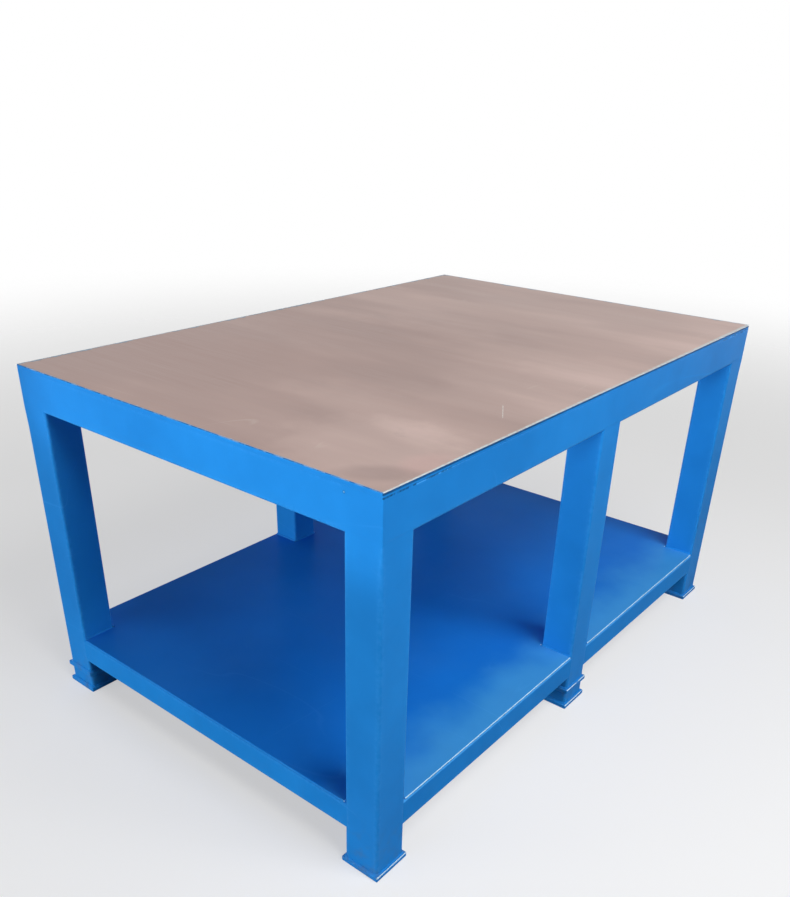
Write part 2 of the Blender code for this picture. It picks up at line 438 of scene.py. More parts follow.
def scratch_line(plate, x, y):
    """1 along the line between SCRATCH_ENDS and 0 beside it, from the distances along and across it."""
    (start_x, start_y), (end_x, end_y) = SCRATCH_ENDS
    run = math.hypot(end_x - start_x, end_y - start_y)
    ahead_x, ahead_y = (end_x - start_x) / run, (end_y - start_y) / run
    along = (x - start_x) * ahead_x + (y - start_y) * ahead_y
    across = ((x - start_x) * ahead_y - (y - start_y) * ahead_x).size()
    on_line = plate.step(along, 0.0, SCRATCH_FADE) * plate.step(along, run, run - SCRATCH_FADE)
    return plate.step(across, SCRATCH_WIDTH, SCRATCH_WIDTH * 0.3) * on_line


def ground_plate(low, high):
    """Bare plate ground along its short side, with painted edges whose paint laps over three rims."""
    plate = Finish("ground_plate", SHEEN)
    x, y, z = plate.axes()
    depth, from_left, from_front = high[Z] - z, x - low[X], y - low[Y]

    def patch(centre, half_length, half_width, turn):
        """1 at the centre, fading to 0 at a ragged oval rim whose long side is turned from the X axis."""
        ragged = plate.noise(18.0, 3.0, shift=2.2) * 0.6 + 0.7
        along = (x - centre[0]) * math.cos(turn) + (y - centre[1]) * math.sin(turn)
        across = (y - centre[1]) * math.cos(turn) - (x - centre[0]) * math.sin(turn)
        away = ((along / half_length) ** 2.0 + (across / half_width) ** 2.0) ** 0.5
        return plate.step(away / ragged, 1.0, 0.35)

    streaks = plate.noise(6.5, 3.0, (1.0, 0.20, 1.0), 0.6) - 0.5
    clouds = plate.noise(3.1, 3.0, (1.0, 0.6, 1.0), 3.7) - 0.5
    grinding = plate.noise(420.0, 2.0, (1.0, 0.014, 1.0), 1.9) - 0.5
    coarse = plate.noise(95.0, 2.0, (1.0, 0.03, 1.0), 8.1) - 0.5
    # Tone of the steel: streaks, clouds and grinding, with painted light sloping lighter to the front and
    # the right, and a lighter and a darker patch
    light = 0.42 + y * PAINTED_LIGHT_SLOPE_Y + x * PAINTED_LIGHT_SLOPE_X + patch(*LIGHTER_PATCH) * 0.40 - patch(*DARKER_PATCH) * 0.16
    light = light + streaks * 1.1 + clouds * 0.8 + grinding * 0.20 + coarse * 0.16
    steel = plate.mix(plate.step(light, 0.10, 0.55), PLATE_DARK, PLATE_MID)
    steel = plate.mix(plate.step(light, 0.50, 1.05), steel, PLATE_LIGHT)

    smudge = patch(*SMUDGE)
    stains = plate.step(plate.noise(11.0, 5.0, shift=6.6, roughness=0.62), 0.62, 0.78)
    steel = plate.mix(patch(*BLUSH) * 0.45, steel, PLATE_PINK)
    steel = plate.mix(smudge * 0.45, steel, PLATE_SMUDGE)
    steel = plate.mix(stains * 0.22, steel, PLATE_SMUDGE)

    scratch = scratch_line(plate, x, y)
    fine = plate.hairlines(3.0, 0.0026, (1.0, 0.16, 1.0), 4.9).most(
        plate.hairlines(4.0, 0.0020, (0.20, 1.0, 1.0), 9.9))
    fine = fine * plate.step(plate.noise(7.0, 2.0, shift=11.0), 0.54, 0.64)
    steel = plate.mix(scratch.most(fine * 0.12), steel, BRIGHT_STEEL)

    broken = plate.step(plate.noise(90.0, 3.0, shift=1.3), 0.35, 0.60) * 0.55 + 0.45
    bright_rim = plate.step(from_front - from_left * RIM_WIDENING, *RIM_WIDTH) * broken
    steel = plate.mix(bright_rim, steel, RIM_STEEL)

    wander = plate.noise(26.0, 5.0, shift=5.5, roughness=0.75)
    ragged = plate.step(wander, 0.40, 0.72)
    past_near = from_left - ragged * NEAR_LAP_RAGGED - NEAR_LAP
    past_far = (high[X] - x).least(high[Y] - y) - ragged * FAR_LAP_RAGGED - FAR_LAP
    lapped = plate.step(past_near.least(past_far), *LAP_SOFT)
    steel = plate.mix(lapped * 0.9, steel, OVERSPRAY)

    coated = plate.step(depth, *COAT_STARTS)
    painted = lapped.most(coated)
    front_line = plate.on_front() * plate.step(depth, *FRONT_LINE_ENDS)
    front_line = front_line * (plate.step(wander, 0.35, 0.55) * 0.30 + 0.70)
    left_line = plate.step(from_left, *LEFT_LINE_REACH) * plate.step(depth, *LEFT_LINE_ENDS)
    left_line = left_line * (plate.step(plate.noise(70.0, 3.0), 0.38, 0.55) * 0.5 + 0.5)
    # Dark rim lines of the plate, and painted shade in the seam under it
    dark_lines_and_seam_shade = (front_line * 0.9).most(plate.top_seam() * SEAM_COVER).most(left_line * 0.6)
    coat = plate.mix(dark_lines_and_seam_shade, enamel_colour(plate), DARK_NAVY_AND_SEAM_SHADE)
    plate.set("Base Color", plate.mix(coated.most(left_line), steel, coat))
    plate.set("Metallic", (1.0 - painted) * 0.80)
    worn = 0.46 + clouds * 0.20 + grinding * 0.16 + coarse * 0.12 + smudge * 0.12 - scratch * 0.2
    rough = plate.add("ShaderNodeMix", {"data_type": "FLOAT"}, {0: painted, 2: worn, 3: 0.36})
    plate.set("Roughness", rough)
    marks = (grinding * 0.012 + coarse * 0.010 - fine * 0.010 - scratch * 0.03) * (1.0 - painted)
    plate.set("Normal", plate.bump(marks + painted * (enamel_relief(plate) + 0.05)))
    return plate.material


def rounded_outline(half_width, half_height, radii, flats):
    """Outline of a rounded rectangle for one ring or many, counter-clockwise.

    A point on an arc is the arc's middle plus the radius times the direction of its angle; one on a flat
    lies at its share of the way from one arc's end to the next arc's start. Gives the points, the outward
    direction of each, how near each is to an arc (1 on it, 0 from EDGE_FADE on), and its share of the
    flat's hollow, which is 1 in the middle of a flat and 0 on the arcs.
    """
    half_width = np.atleast_1d(np.asarray(half_width, float))[:, None, None]
    half_height = np.atleast_1d(np.asarray(half_height, float))[:, None, None]
    radii = np.atleast_2d(np.asarray(radii, float))[:, :, None]
    corner = np.arange(4)[:, None]
    angle = QUARTER * (corner + np.linspace(0.0, 1.0, ARC_STEPS + 1))
    aside, above = np.sign(np.cos(QUARTER * (corner + 0.5))), np.sign(np.sin(QUARTER * (corner + 0.5)))
    arcs = np.stack([aside * (half_width - radii) + radii * np.cos(angle),
                     above * (half_height - radii) + radii * np.sin(angle)], -1)
    share = np.asarray(flats)[:, None]
    start, end = arcs[:, :, -1:], np.roll(arcs[:, :, :1], -1, axis=1)
    lines = start * (1.0 - share) + end * share
    near_end = np.linalg.norm(end - start, axis=-1) * np.minimum(share, 1.0 - share)[:, 0]
    rings = arcs.shape[0]
    nearness = np.concatenate([np.ones(arcs.shape[:3]), np.clip(1.0 - near_end / EDGE_FADE, 0.0, 1.0)], 2)
    square = np.broadcast_to(QUARTER * (corner + 1.0), (4, len(flats)))
    angle = np.concatenate([angle, square], 1).ravel()
    outward = np.stack([np.cos(angle), np.sin(angle)], -1)
    middle = np.broadcast_to((4.0 * share * (1.0 - share))[:, 0], (4, len(flats)))
    hollow = np.concatenate([np.zeros((4, ARC_STEPS + 1)), middle], 1).ravel()
    points = np.concatenate([arcs, lines], 2).reshape(rings, -1, 2)
    return points, outward, nearness.reshape(rings, -1), hollow


def skin(rings, edge=0.0, looped=False):
    """Surface over rings of points, one quad between neighbours; a fan closes each end unless it loops.

    Ring by ring along the path and counter-clockwise round each ring, so that the quads face outwards.
    """
    number, around = rings.shape[:2]
    index = np.arange(number * around).reshape(number, around)
    here, there = (index, np.roll(index, -1, 0)) if looped else (index[:-1], index[1:])
    quads = np.stack([here, np.roll(here, -1, 1), np.roll(there, -1, 1), there], -1).reshape(-1, 4)
    points = rings.reshape(-1, 3)
    worn = np.broadcast_to(edge, (number, around)).ravel()
    if looped:
        return points, quads, np.zeros((0, 3), int), worn
    first, last = index[0], index[-1]
    start = np.stack([np.full(around, len(points)), np.roll(first, -1), first], -1)
    finish = np.stack([np.full(around, len(points) + 1), last, np.roll(last, -1)], -1)
    points = np.concatenate([points, rings[0].mean(0)[None], rings[-1].mean(0)[None]])
    return points, quads, np.concatenate([start, finish]), np.append(worn, [0.0, 0.0])


def piece(name, skins, finish, nodes=()):
    """One object from its skins, smooth but for sharp edges; it rides on the bench and stands for nodes."""
    offsets = np.cumsum([0] + [len(points) for points, _, _, _ in skins])
    quads = np.concatenate([s[1] + offset for s, offset in zip(skins, offsets)])
    fans = np.concatenate([s[2] + offset for s, offset in zip(skins, offsets)])
    mesh = bpy.data.meshes.new(name)
    mesh.from_pydata(np.concatenate([s[0] for s in skins]).tolist(), [], quads.tolist() + fans.tolist())
    edge = mesh.attributes.new("edge", "FLOAT", "POINT")
    edge.data.foreach_set("value", np.concatenate([s[3] for s in skins]).astype(np.float32))
    mesh.materials.append(finish)
    mesh.shade_smooth()
    mesh.set_sharp_from_angle(angle=math.radians(SHARP_FROM))
    made = bpy.data.objects.new(name, mesh)
    bpy.context.scene.collection.objects.link(made)
    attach(made, "root")
    if nodes:
        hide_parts(*nodes)
    return made


def corners(node):
    """Lowest and highest corner of a node's box, as arrays."""
    return tuple(np.array(corner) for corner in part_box(node))


def smooth(value, low, high):
    """0 up to low and 1 from high on, with a soft turn between them."""
    t = np.clip((value - low) / (high - low), 0.0, 1.0)
    return t * t * (3.0 - 2.0 * t)


def undulation(distance, seed):
    """Slow waves along a length, each the sine of the distance over its wavelength from a drawn start."""
    starts = np.random.default_rng(seed).uniform(0.0, 2.0 * math.pi, len(FACE_WAVELENGTHS))
    waves = [np.sin(2.0 * math.pi * distance / length + start)
             for length, start in zip(FACE_WAVELENGTHS, starts)]
    return sum(waves) / len(waves)


def stations(length, marks):
    """Shares of a length where rings lie: NEAR_END from both ends, TUBE_STEP apart, and at the marks."""
    near = np.array(NEAR_END)
    near = near[near < length / 4]
    between = np.arange(near[-1] + TUBE_STEP, length - near[-1] - TUBE_STEP / 2, TUBE_STEP)
    return np.unique(np.round(np.concatenate([near, between, length - near, marks]), 6)) / length


def tube(node, axis, radii, reach=(SEAM, SEAM), outer=None, raised=0.0, joined=(), seed=0):
    """Square tube in a node's place: its outline carried along its axis, drawn out at each end by reach.

    The faces sink by FACE_HOLLOW along their middle and wave along the length. With outer, the side and
    sign of the frame's outer face, both ends are mitred: a ring point starts as far in as it lies inside
    that face, and the outer corner is rounded by MITRE_ROUNDING. radii may be a function of the share of
    the length. The top is raised to close a seam, and the edges show no wear over the joined spans.
    """
    low, high = corners(node)
    high[Z] += raised
    across, up = (axis + 1) % 3, (axis + 2) % 3
    half, centre = (high - low) / 2.0, (high + low) / 2.0
    length = high[axis] - low[axis] + sum(reach)
    joined = np.array(joined).reshape(-1, 2)
    marks = (joined - low[axis] + reach[0])[:, :, None] + np.array([-WEAR_RETURN, WEAR_RETURN])
    share = stations(length, marks[(marks > 0.0) & (marks < length)])
    rows = radii(share) if callable(radii) else radii
    outline, outward, nearness, hollow = rounded_outline(half[across], half[up], rows, TUBE_FLATS)
    outline = np.broadcast_to(outline, (len(share),) + outline.shape[1:]).copy()
    distance = share[:, None] * length
    sunk = hollow * (-FACE_HOLLOW + FACE_WAVE * undulation(distance + outward[:, 0] * 0.4, seed))
    outline += sunk[:, :, None] * outward
    start, finish = np.full(outline.shape[:2], low[axis] - reach[0]), high[axis] + reach[1]
    if outer is not None:
        side, sign = outer
        outer_face = half[(across, up)[side]]
        depth = outer_face - sign * outline[:, :, side]
        inset = np.maximum(depth, MITRE_ROUNDING * (1.0 - math.sqrt(0.5)))
        start, finish = start + inset, finish - inset
    along = start + share[:, None] * (finish - start)
    if outer is not None:
        from_end = np.minimum(along - low[axis] + reach[0], high[axis] + reach[1] - along)
        short = np.clip(MITRE_ROUNDING - from_end, 0.0, MITRE_ROUNDING)
        rounding = MITRE_ROUNDING - np.sqrt(MITRE_ROUNDING ** 2 - short ** 2)
        outline[:, :, side] = sign * (outer_face - np.maximum(depth, rounding))
    rings = np.empty(outline.shape[:2] + (3,))
    rings[:, :, axis] = along
    rings[:, :, across] = centre[across] + outline[:, :, 0]
    rings[:, :, up] = centre[up] + outline[:, :, 1]
    outside = np.maximum(joined[:, 0] - along[:, :, None], along[:, :, None] - joined[:, 1])
    worn = np.clip(0.5 + outside / (2.0 * WEAR_RETURN), 0.0, 1.0).prod(-1)
    return skin(rings, nearness * worn)


def plate(node, corner, chamfer, flats=PLATE_FLATS, lower=None):
    """Flat plate in a node's place: its outline carried upwards, drawn in by a quarter circle at each rim.

    lower is the rounding of the lower rim where it isn't that of the upper one.
    """
    low, high = corners(node)
    half, centre = (high - low) / 2.0, (high + low) / 2.0
    turn = np.linspace(0.0, QUARTER, 4)
    under = chamfer if lower is None else lower
    inset = np.concatenate([[EDGE_FADE], under * (1.0 - np.sin(turn)), [0.0, 0.0],
                            chamfer * (1.0 - np.cos(turn)), [EDGE_FADE]])
    third = (high[Z] - low[Z]) / 3.0
    level = np.concatenate([[low[Z]], low[Z] + under * (1.0 - np.cos(turn)),
                            [low[Z] + third, high[Z] - third],
                            high[Z] - chamfer * (1.0 - np.sin(turn)), [high[Z]]])
    edge = np.array([0.0] + [1.0] * 4 + [0.0, 0.0] + [1.0] * 4 + [0.0])[:, None]
    radii = np.maximum(corner - inset, 0.0002)[:, None] * np.ones(4)
    outline = rounded_outline(half[X] - inset, half[Y] - inset, radii, flats)[0]
    levels = np.broadcast_to(level[:, None, None], outline.shape[:2] + (1,))
    return skin(np.concatenate([outline + centre[:2], levels], -1), edge)


def bead_section(along, first, second, size, seed, taper):
    """Points of a fillet's section at each distance along it, from one face round to the other.

    The section is a superellipse of exponent BEAD_BULGE between the directions first and second. Its size
    swells and sinks slowly along the run, and ripples RIPPLE apart lag behind in the middle of the section.
    """
    turn = np.linspace(0.0, QUARTER, SECTION_STEPS)
    lag = RIPPLE_LAG * RIPPLE * np.sin(2.0 * turn)
    ripple = np.abs(np.sin(math.pi * (along[:, None] + lag) / RIPPLE))
    slow = BEAD_SWELL * undulation(along * 3.0, seed)
    swell = size * taper[:, None] * (1.0 + slow[:, None] + RIPPLE_DEPTH * (ripple - 0.6))
    one, two = swell * np.cos(turn) ** (2.0 / BEAD_BULGE), swell * np.sin(turn) ** (2.0 / BEAD_BULGE)
    return one[:, :, None] * first[:, None] + two[:, :, None] * second[:, None]


def fillet(start, end, first, second, size, seed):
    """Straight bead in the corner between two faces, its section carried from start to end.

    first and second point from the corner along the two faces. Its ends taper like a quarter circle.
    """
    start, end, first, second = (np.asarray(v, float) for v in (start, end, first, second))
    run = np.linalg.norm(end - start)
    ahead = (end - start) / run
    if np.cross(first, second) @ ahead < 0.0:
        first, second = second, first
    along = np.linspace(0.0, run, max(6, round(run / BEAD_STEP)))
    rise = np.clip(np.minimum(along, run - along) / size, 0.0, 1.0)
    taper = 0.35 + 0.65 * np.sqrt(rise * (2.0 - rise))
    ones = np.ones((len(along), 1))
    arc = bead_section(along, ones * first, ones * second, size, seed, taper)
    root = np.broadcast_to(-BEAD_ROOT * (first + second), (len(along), 1, 3))
    path = start + along[:, None] * ahead
    return skin(path[:, None] + np.concatenate([root, arc], 1))


def collar(node, level, up, seed):
    """Bead all round a square tube at one level, standing on the face that up points away from."""
    low, high = corners(node)
    half, centre = (high - low) / 2.0, (high + low) / 2.0
    outline, outward, _, _ = rounded_outline(half[X], half[Y], [FRAME_CORNER] * 4, BEAD_FLATS)
    path = np.concatenate([outline[0] + centre[:2], np.full((outline.shape[1], 1), level)], 1)
    if up < 0:
        path, outward = path[::-1], outward[::-1]
    along = np.concatenate([[0.0], np.cumsum(np.linalg.norm(np.diff(path, axis=0), axis=1))])
    away = np.concatenate([outward, np.zeros((len(path), 1))], 1)
    rise = np.broadcast_to([0.0, 0.0, float(up)], away.shape)
    along = along * (round(along[-1] / RIPPLE) * RIPPLE / along[-1])
    arc = bead_section(along, rise, away, BEAD_FOOT, seed, np.ones(len(path)))
    root = -BEAD_ROOT * (rise + away)[:, None]
    return skin(path[:, None] + np.concatenate([root, arc], 1), looped=True)


BENCH_LOW, BENCH_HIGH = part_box("top_plate")
LEGS = {(row, where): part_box(f"leg_{row}_{where}") for row in ("front", "back")
        for where in ("left", "middle", "right")}
PACKED = [spot for spot in LEGS if f"foot_packer_{spot[0]}_{spot[1]}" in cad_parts]
OUTWARD = {"front": -1, "back": 1, "left": -1, "right": 1, "middle": 0}

# Each top rail's axis, side and sign of its outer face, and arc of its outline under the plate's rim; then
# the arc of a corner leg's outline that lies at the bench's corner
TOP_RAILS = {
    "front": (X, (0, -1), 1),
    "back": (X, (0, 1), 0),
    "left": (Y, (1, -1), 3),
    "right": (Y, (1, 1), 0),
}
OUTER_ARC = {("back", "right"): 0, ("back", "left"): 1, ("front", "left"): 2, ("front", "right"): 3}


def top_rails(finish):
    """Mitred rails, the seam above them filled and ground but for the groove at the front's ends."""
    for seed, (side, (axis, outer, top_arc)) in enumerate(TOP_RAILS.items()):
        def radii(share, side=side, top_arc=top_arc):
            from_middle = np.abs(share - 0.5) * (BENCH_HIGH[X] - BENCH_LOW[X])
            groove = (SEAM_GROOVE - SEAM_FILLED) * smooth(from_middle, *SEAM_SHOWS)
            rows = np.full((len(share), 4), FRAME_CORNER)
            rows[:, top_arc] = SEAM_FILLED + (groove if side == "front" else 0.0)
            return rows

        spans = [(low[axis], high[axis]) for spot, (low, high) in LEGS.items() if side in spot]
        name = "top_rail_" + side
        made = tube(name, axis, radii, outer=outer, raised=SEAM, joined=spans, seed=seed)
        piece("frame_" + name, [made], finish, [name])


def legs(finish):
    """Legs whose tops run up into the hollow of the rail's rounded edge, as its ground weld does."""
    for seed, ((row, where), (low, high)) in enumerate(LEGS.items()):
        sharp = OUTER_ARC.get((row, where))
        blend = LEG_CORNER_BLEND / (high[Z] - low[Z])

        def radii(share, sharp=sharp, blend=blend):
            rows = np.full((len(share), 4), FRAME_CORNER)
            if sharp is not None:
                rows[:, sharp] += (MITRE_ROUNDING - FRAME_CORNER) * smooth(share, 1.0 - blend, 1.0)
            return rows

        name = f"leg_{row}_{where}"
        top = (high[Z], high[Z] + 2.0 * FRAME_CORNER)
        made = tube(name, Z, radii, (SEAM, SEAM + FRAME_CORNER), joined=[top], seed=20 + seed)
        piece("post_" + name, [made], finish, [name])


def feet(finish, plate_finish):
    """Floor plates, and under a packed leg its own plate and the packer."""
    for seed, (row, where) in enumerate(LEGS):
        spot = f"{row}_{where}"
        names = ["floor_plate_" + spot] + (["leg_plate_" + spot] if (row, where) in PACKED else [])
        for name in names:
            made = plate(name, FOOT_PLATE_CORNER, FOOT_PLATE_CHAMFER, TUBE_FLATS)
            piece("pad_" + name, [made], plate_finish, [name])
        if (row, where) in PACKED:
            name = "foot_packer_" + spot
            made = tube(name, Z, [FRAME_CORNER] * 4, seed=40 + seed)
            piece("block_" + name, [made], finish, [name])


def shelf_tubes(finish, cross_finish):
    """Rails that run into the rounded corners of the legs, and the cross tubes between them."""
    into_leg = SEAM + FRAME_CORNER * 0.75
    rails = {"left": Y, "right": Y, "front_left": X, "front_right": X, "back_left": X, "back_right": X}
    for seed, (where, axis) in enumerate(rails.items()):
        name = "shelf_rail_" + where
        made = tube(name, axis, [RAIL_CORNER] * 4, (into_leg, into_leg), seed=60 + seed)
        piece("run_" + name, [made], finish, [name])
    cross = ["shelf_rail_middle", "shelf_bearer_left", "shelf_bearer_right",
             "top_bearer_left", "top_bearer_middle", "top_bearer_right"]
    for seed, name in enumerate(cross):
        made = tube(name, Y, [RAIL_CORNER] * 4, seed=80 + seed)
        piece("cross_" + name, [made], cross_finish, [name])


def sheet_lines(low, high, cuts):
    """Grid lines of the sheet along X and Y: its own rims, the cuts' rims, and lines beside and between."""
    for axis in (X, Y):
        marks = np.array([low[axis], high[axis]] + [corner[axis] for cut in cuts for corner in cut])
        marks = marks[(marks >= low[axis] - 1e-9) & (marks <= high[axis] + 1e-9)]
        marks = np.unique(np.round(marks, 6))
        between = np.concatenate([np.linspace(a, b, max(2, round((b - a) / SHEET_STEP) + 1))
                                  for a, b in zip(marks, marks[1:])])
        beside = np.concatenate([marks[:-1] + EDGE_FADE, marks[1:] - EDGE_FADE])
        yield np.unique(np.round(np.concatenate([between, beside]), 6))


def shelf_sheet(finish):
    """Sheet laid as a grid of cells with the legs' cells left out; it sinks between the tubes under it.

    The sinking is SHEET_SAG times the square of the sine across each bay times the cosine along it. A wall
    joins top and bottom at every side of a cell that no other cell shares, and its points count as edge.
    """
    low, high = corners("shelf_sheet")
    cuts = [(np.array(a)[:2] - SHEET_CLEARANCE, np.array(b)[:2] + SHEET_CLEARANCE)
            for a, b in LEGS.values()]
    xs, ys = sheet_lines(low, high, cuts)
    middle_x, middle_y = (xs[1:] + xs[:-1]) / 2.0, (ys[1:] + ys[:-1]) / 2.0
    kept = np.ones((len(middle_x), len(middle_y)), bool)
    for a, b in cuts:
        kept &= ~np.outer((middle_x > a[X]) & (middle_x < b[X]), (middle_y > a[Y]) & (middle_y < b[Y]))
    gx, gy = np.meshgrid(xs, ys, indexing="ij")
    bearer_low, bearer_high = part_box("shelf_bearer_right")
    bay = (bearer_low[X] + bearer_high[X]) / 2.0
    along_bay = np.clip(np.cos(math.pi * gy / (high[Y] - low[Y])), 0.0, 1.0)
    sag = SHEET_SAG * np.sin(math.pi * gx / bay) ** 2 * along_bay
    base = gx.size
    index = np.arange(base).reshape(gx.shape)
    i, j = np.nonzero(kept)
    roof = np.stack([index[i, j], index[i + 1, j], index[i + 1, j + 1], index[i, j + 1]], -1)
    one, two = roof.ravel(), np.roll(roof, -1, 1).ravel()
    alone = ~np.isin(one * base + two, two * base + one)
    one, two = one[alone], two[alone]
    walls = np.stack([one + base, two + base, two, one], -1)
    rim = np.zeros(2 * base)
    rim[walls] = 1.0
    points = np.concatenate([np.stack([gx, gy, high[Z] - sag], -1).reshape(-1, 3),
                             np.stack([gx, gy, low[Z] - sag], -1).reshape(-1, 3)])
    used, faces = np.unique(np.concatenate([roof, roof[:, ::-1] + base, walls]), return_inverse=True)
    made = (points[used], faces.reshape(-1, 4), np.zeros((0, 3), int), rim[used])
    rounding = piece("sheet_shelf", [made], finish, ["shelf_sheet"]).modifiers.new("edge", "BEVEL")
    rounding.width, rounding.segments, rounding.limit_method = SHEET_EDGE, 2, "ANGLE"
    rounding.angle_limit = math.radians(ROUNDED_FROM)


def unit(axis, sign):
    direction = np.zeros(3)
    direction[axis] = sign
    return direction


def face(box, axis, side):
    """Where a box's face on the low (-1) or the high (1) side of an axis lies."""
    return box[side > 0][axis]


def inner_sides(row, where, inset, level):
    """A leg's sides that don't lie in the bench's outer faces: axis, sign, and the ends of a level line."""
    low, high = leg = LEGS[row, where]
    for side in (-1, 1):
        if side != OUTWARD[where]:
            x = face(leg, X, side)
            yield X, side, (x, low[Y] + inset, level), (x, high[Y] - inset, level)
    side = -OUTWARD[row]
    y = face(leg, Y, side)
    yield Y, side, (low[X] + inset, y, level), (high[X] - inset, y, level)


def frame_welds(finish):
    """Beads under the top rails beside each leg, and up the inner corners of the top frame."""
    beads, seeds = [], count(100)
    for (row, where), leg in LEGS.items():
        level = leg[1][Z] + SEAM
        for axis, side, start, end in inner_sides(row, where, FRAME_CORNER, level):
            if axis == X or where != "middle":
                beads.append(fillet(start, end, unit(axis, side), unit(Z, -1), BEAD_FRAME, next(seeds)))
        if where != "middle":
            inner_x, inner_y = -OUTWARD[where], -OUTWARD[row]
            x, y = face(leg, X, inner_x), face(leg, Y, inner_y)
            upright = ((x, y, level + FRAME_CORNER), (x, y, BENCH_LOW[Z] - FRAME_CORNER))
            beads.append(fillet(*upright, unit(X, inner_x), unit(Y, inner_y), BEAD_RAIL, next(seeds)))
    piece("welds_top_frame", beads, finish)


def end_beads(node, axis, seed, sides=(-1, 1)):
    """Beads where a tube's ends butt against upright faces: below the tube, and on the sides given."""
    low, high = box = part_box(node)
    across = Y if axis == X else X
    beads = []
    for end, sign in ((low[axis] - SEAM, 1), (high[axis] + SEAM, -1)):
        def at(a, z):
            point = np.empty(3)
            point[axis], point[across], point[Z] = end, a, z
            return point

        below = (at(low[across] + RAIL_CORNER, low[Z]), at(high[across] - RAIL_CORNER, low[Z]))
        beads.append(fillet(*below, unit(axis, sign), unit(Z, -1), BEAD_RAIL, seed))
        for side in sides:
            a = face(box, across, side)
            beside = (at(a, low[Z] + RAIL_CORNER), at(a, high[Z] - RAIL_CORNER))
            beads.append(fillet(*beside, unit(axis, sign), unit(across, side), BEAD_RAIL, seed + side + 2))
        seed += 7
    return beads


def tube_welds(finish):
    """Beads where the shelf's tubes meet the legs and each other, and where the bearers meet the rails."""
    beads = []
    for number, side in enumerate(("left", "right")):
        beads += end_beads("shelf_rail_" + side, Y, 200 + 20 * number, [-OUTWARD[side]])
        for row in ("front", "back"):
            beads += end_beads(f"shelf_rail_{row}_{side}", X, 240 + 20 * number, [-OUTWARD[row]])
        beads += end_beads("shelf_bearer_" + side, Y, 280 + 20 * number)
    beads += end_beads("shelf_rail_middle", Y, 330)
    piece("welds_shelf_frame", beads, finish)
    beads = []
    for number, where in enumerate(("left", "middle", "right")):
        beads += end_beads("top_bearer_" + where, Y, 350 + 20 * number)
    piece("welds_bearers", beads, finish)


def stitches(start, end, first, second, size, seed):
    """Short beads about STITCH_SPACING apart along a line."""
    start, end = np.asarray(start, float), np.asarray(end, float)
    run = np.linalg.norm(end - start)
    number = max(1, round(run / STITCH_SPACING))
    ahead = (end - start) / run
    middles = (np.arange(number) + 0.5) * run / number
    return [fillet(start + ahead * (m - STITCH_LENGTH / 2), start + ahead * (m + STITCH_LENGTH / 2),
                   first, second, size, seed + n) for n, m in enumerate(middles)]


def plate_welds(finish):
    """Stitches under the top plate, along the inside of the top rails and both sides of the bearers."""
    beads = []
    under = BENCH_LOW[Z]
    for side, across in (("front", Y), ("back", Y), ("left", X), ("right", X)):
        box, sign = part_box("top_rail_" + side), OUTWARD[side]
        along = X if across == Y else Y
        start, end = np.full(3, under), np.full(3, under)
        start[across] = end[across] = face(box, across, -sign)
        start[along], end[along] = box[0][along] + STITCH_MARGIN, box[1][along] - STITCH_MARGIN
        beads += stitches(start, end, unit(across, -sign), unit(Z, -1), BEAD_UNDER_TOP,
                          400 + 10 * across + sign)
    for number, where in enumerate(("left", "middle", "right")):
        low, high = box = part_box("top_bearer_" + where)
        for side in (-1, 1):
            x = face(box, X, side)
            ends = ((x, low[Y], under), (x, high[Y], under))
            beads += stitches(*ends, unit(X, side), unit(Z, -1), BEAD_BEARER, 430 + 10 * number + side)
    piece("welds_top_plate", beads, finish)


def sheet_welds(finish):
    """Beads on the shelf sheet that close the cut-outs round the legs."""
    level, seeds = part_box("shelf_sheet")[1][Z], count(500)
    beads = [fillet(start, end, unit(axis, side), unit(Z, 1), BEAD_SHEET, next(seeds))
             for spot in LEGS for axis, side, start, end in inner_sides(*spot, SHEET_BEAD_INSET, level)]
    piece("welds_shelf_sheet", beads, finish)


def foot_welds(finish):
    """Collars round the legs and packers where they stand on or hang under a plate."""
    beads = []
    for seed, (row, where) in enumerate(LEGS):
        spot = f"{row}_{where}"
        floor_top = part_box("floor_plate_" + spot)[1][Z]
        if (row, where) in PACKED:
            lower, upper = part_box("leg_plate_" + spot)
            beads += [collar("foot_packer_" + spot, floor_top, 1, 600 + seed),
                      collar("foot_packer_" + spot, lower[Z], -1, 620 + seed),
                      collar("leg_" + spot, upper[Z], 1, 640 + seed)]
        else:
            beads.append(collar("leg_" + spot, floor_top, 1, 660 + seed))
    piece("welds_feet", beads, finish)


def camera():
    """Yaw turns the camera from +X, pitch tips it up or down, and roll turns it about its view."""
    ahead = Vector((math.cos(CAMERA_PITCH) * math.cos(CAMERA_YAW),
                    math.cos(CAMERA_PITCH) * math.sin(CAMERA_YAW), math.sin(CAMERA_PITCH)))
    level = ahead.cross(Vector((0.0, 0.0, 1.0))).normalized()
    upright = level.cross(ahead)
    right = math.cos(CAMERA_ROLL) * level + math.sin(CAMERA_ROLL) * upright
    up = math.cos(CAMERA_ROLL) * upright - math.sin(CAMERA_ROLL) * level
    lens = bpy.data.cameras.new("camera")
    lens.sensor_width = SENSOR_WIDTH
    lens.lens = SENSOR_WIDTH * FOCAL_PIXELS / max(PICTURE)
    lens.shift_x = (PICTURE[0] / 2.0 - OPTICAL_CENTRE[0]) / max(PICTURE)
    lens.shift_y = (OPTICAL_CENTRE[1] - PICTURE[1] / 2.0) / max(PICTURE)
    made = bpy.data.objects.new("camera", lens)
    turned = Matrix((right, up, -ahead)).transposed().to_4x4()
    made.matrix_world = Matrix.Translation(CAMERA_PLACE) @ turned
    bpy.context.scene.collection.objects.link(made)
    bpy.context.scene.camera = made


# The floor's disc, and the distances from its middle between which it fades away
FLOOR_RADIUS = 9.0
FLOOR_SIDES = 96
FLOOR_FADE = (1.6, 6.0)

